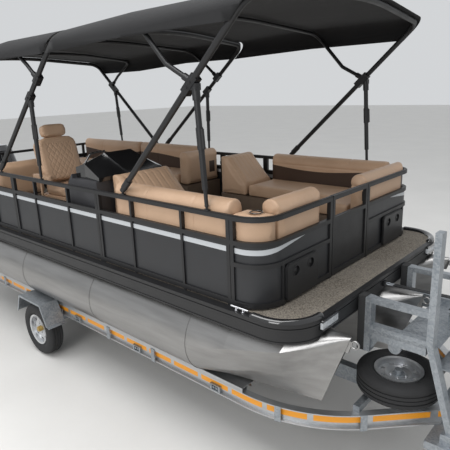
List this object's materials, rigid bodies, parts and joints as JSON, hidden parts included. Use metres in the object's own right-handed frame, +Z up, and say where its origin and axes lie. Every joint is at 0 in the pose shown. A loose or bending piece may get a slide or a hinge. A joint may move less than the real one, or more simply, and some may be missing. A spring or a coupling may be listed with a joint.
{
  "type": "pontoon boat on a road trailer",
  "caption": "Three-tube pontoon boat with fenced deck, tan seats, helm, two black canopies and an outboard motor, resting on a single-axle galvanised trailer with a bow stand.",
  "frame": {"origin": "on the floor under the middle of the whole object, boat and trailer together", "axes": "+X towards the bow and the trailer's coupling, +Y to port, +Z up"},
  "size_m": [8.69, 2.6, 3.5153],
  "materials": {
    "aluminium": "brushed, with weld rings",
    "carpet": "woven deck covering",
    "black_trim": "satin powder coat",
    "gloss_trim": "gloss black",
    "bright_metal": "polished",
    "black_frame": "textured powder coat",
    "panel": "charcoal with a silver stripe",
    "seat_base": "moulded seat base",
    "tan_leather": "tan marine vinyl",
    "console": "moulded console",
    "canopy_cloth": "black acrylic canvas",
    "trailer_aluminium": "mill finish",
    "galvanised": "hot-dip galvanised",
    "tyre": "black tyre rubber",
    "black_rubber": "black rubber",
    "lamp_red": "red lamp lens",
    "motor_gloss": "gloss black cowl"
  },
  "bodies": {
    "boat_on_trailer": {"pontoon_starboard": "aluminium", "pontoon_centre": "aluminium", "pontoon_port": "aluminium", "deck_frame": "aluminium", "deck": "carpet", "deck_skirt": "black_trim", "corner_bumpers": "gloss_trim", "docking_lights": "gloss_trim", "cleats": "bright_metal", "fence_frame_starboard": "black_frame", "fence_frame_port_forward": "black_frame", "fence_frame_port_aft": "black_frame", "fence_panels_starboard": "panel", "fence_panels_port_forward": "panel", "fence_panels_port_aft": "panel", "bow_seat_bases": "seat_base", "bow_seat_starboard_cushions": "tan_leather", "bow_seat_port_cushions": "tan_leather", "aft_seat_bases": "seat_base", "port_bench_cushions": "tan_leather", "aft_lounge_cushions": "tan_leather", "captain_chair_pedestal": "bright_metal", "helm_console": "console", "windscreen": "gloss_trim", "access_panels": "black_trim", "winch": "galvanised", "bimini_frame": "black_frame", "canopy_front": "canopy_cloth", "canopy_rear": "canopy_cloth", "motor_bracket": "black_trim", "trailer_rails": "trailer_aluminium", "trailer_cross_members": "galvanised", "trailer_bunks": "trailer_aluminium", "trailer_axle": "galvanised", "mudguards": "galvanised", "spare_tyre": "tyre", "spare_rim": "galvanised", "bow_stand": "galvanised", "stand_pads": "black_rubber", "trailer_drawbar": "galvanised", "coupling": "galvanised", "jockey_leg": "galvanised", "tail_lights": "lamp_red"},
    "wheel_starboard": {"wheel_starboard_tyre": "tyre", "wheel_starboard_rim": "galvanised"},
    "wheel_port": {"wheel_port_tyre": "tyre", "wheel_port_rim": "galvanised"},
    "jockey_swivel": {"jockey_fork": "galvanised"},
    "jockey_roller": {"jockey_wheel": "black_rubber"},
    "bow_gate_leaf": {"bow_gate": "black_frame"},
    "side_gate_leaf": {"side_gate": "black_frame"},
    "stern_gate_leaf": {"stern_gate": "black_frame"},
    "captain_chair": {"captain_chair_frame": "seat_base", "captain_chair_cushions": "tan_leather"},
    "helm_wheel": {"steering_wheel": "black_trim"},
    "motor_tilt": {"motor_swivel": "black_trim"},
    "motor_steer": {"motor_body": "motor_gloss"},
    "propeller_shaft": {"propeller": "gloss_trim"},
    "ladder": {"boarding_ladder": "bright_metal"}
  },
  "joints": [
    {"name": "wheel_starboard_roll", "type": "hinge", "parent": "boat_on_trailer", "child": "wheel_starboard", "pos_m": [-0.84, -1.19, 0.302], "axis": [0, 1, 0], "continuous": true},
    {"name": "wheel_port_roll", "type": "hinge", "parent": "boat_on_trailer", "child": "wheel_port", "pos_m": [-0.84, 1.19, 0.302], "axis": [0, 1, 0], "continuous": true},
    {"name": "jockey_wheel_swivel", "type": "hinge", "parent": "boat_on_trailer", "child": "jockey_swivel", "pos_m": [3.845, -0.08, 0.25], "axis": [0, 0, 1], "continuous": true},
    {"name": "jockey_wheel_roll", "type": "hinge", "parent": "jockey_swivel", "child": "jockey_roller", "pos_m": [3.805, -0.08, 0.11], "axis": [0, 1, 0], "continuous": true},
    {"name": "bow_gate_swing", "type": "hinge", "parent": "boat_on_trailer", "child": "bow_gate_leaf", "pos_m": [2.341, 0.235, 1.75], "axis": [0, 0, -1], "range_deg": [0, 88]},
    {"name": "side_gate_swing", "type": "hinge", "parent": "boat_on_trailer", "child": "side_gate_leaf", "pos_m": [-0.135, 1.184, 1.75], "axis": [0, 0, -1], "range_deg": [0, 88]},
    {"name": "stern_gate_swing", "type": "hinge", "parent": "boat_on_trailer", "child": "stern_gate_leaf", "pos_m": [-3.159, 0.3, 1.75], "axis": [0, 0, 1], "range_deg": [0, 88]},
    {"name": "captain_chair_swivel", "type": "hinge", "parent": "boat_on_trailer", "child": "captain_chair", "pos_m": [-0.805, -0.65, 1.751], "axis": [0, 0, 1], "continuous": true},
    {"name": "helm_wheel_turn", "type": "hinge", "parent": "boat_on_trailer", "child": "helm_wheel", "pos_m": [-0.0745, -0.76, 2.14042], "axis": [-0.7682, 0, 0.6402], "range_deg": [-630, 630]},
    {"name": "motor_tilt_up", "type": "hinge", "parent": "boat_on_trailer", "child": "motor_tilt", "pos_m": [-3.795, 0, 1.41], "axis": [0, 1, 0], "range_deg": [0, 60]},
    {"name": "motor_steering", "type": "hinge", "parent": "motor_tilt", "child": "motor_steer", "pos_m": [-3.895, 0, 1.22], "axis": [0, 0, 1], "range_deg": [-35, 35]},
    {"name": "propeller_turn", "type": "hinge", "parent": "motor_steer", "child": "propeller_shaft", "pos_m": [-4.095, 0, 0.59], "axis": [1, 0, 0], "continuous": true},
    {"name": "ladder_swing", "type": "hinge", "parent": "boat_on_trailer", "child": "ladder", "pos_m": [-3.727, -0.93, 1.444], "axis": [0, -1, 0], "range_deg": [0, 175]}
  ],
  "couplings": [
    {"joint": "helm_wheel_turn", "follows": "motor_steering", "ratio": 18}
  ]
}
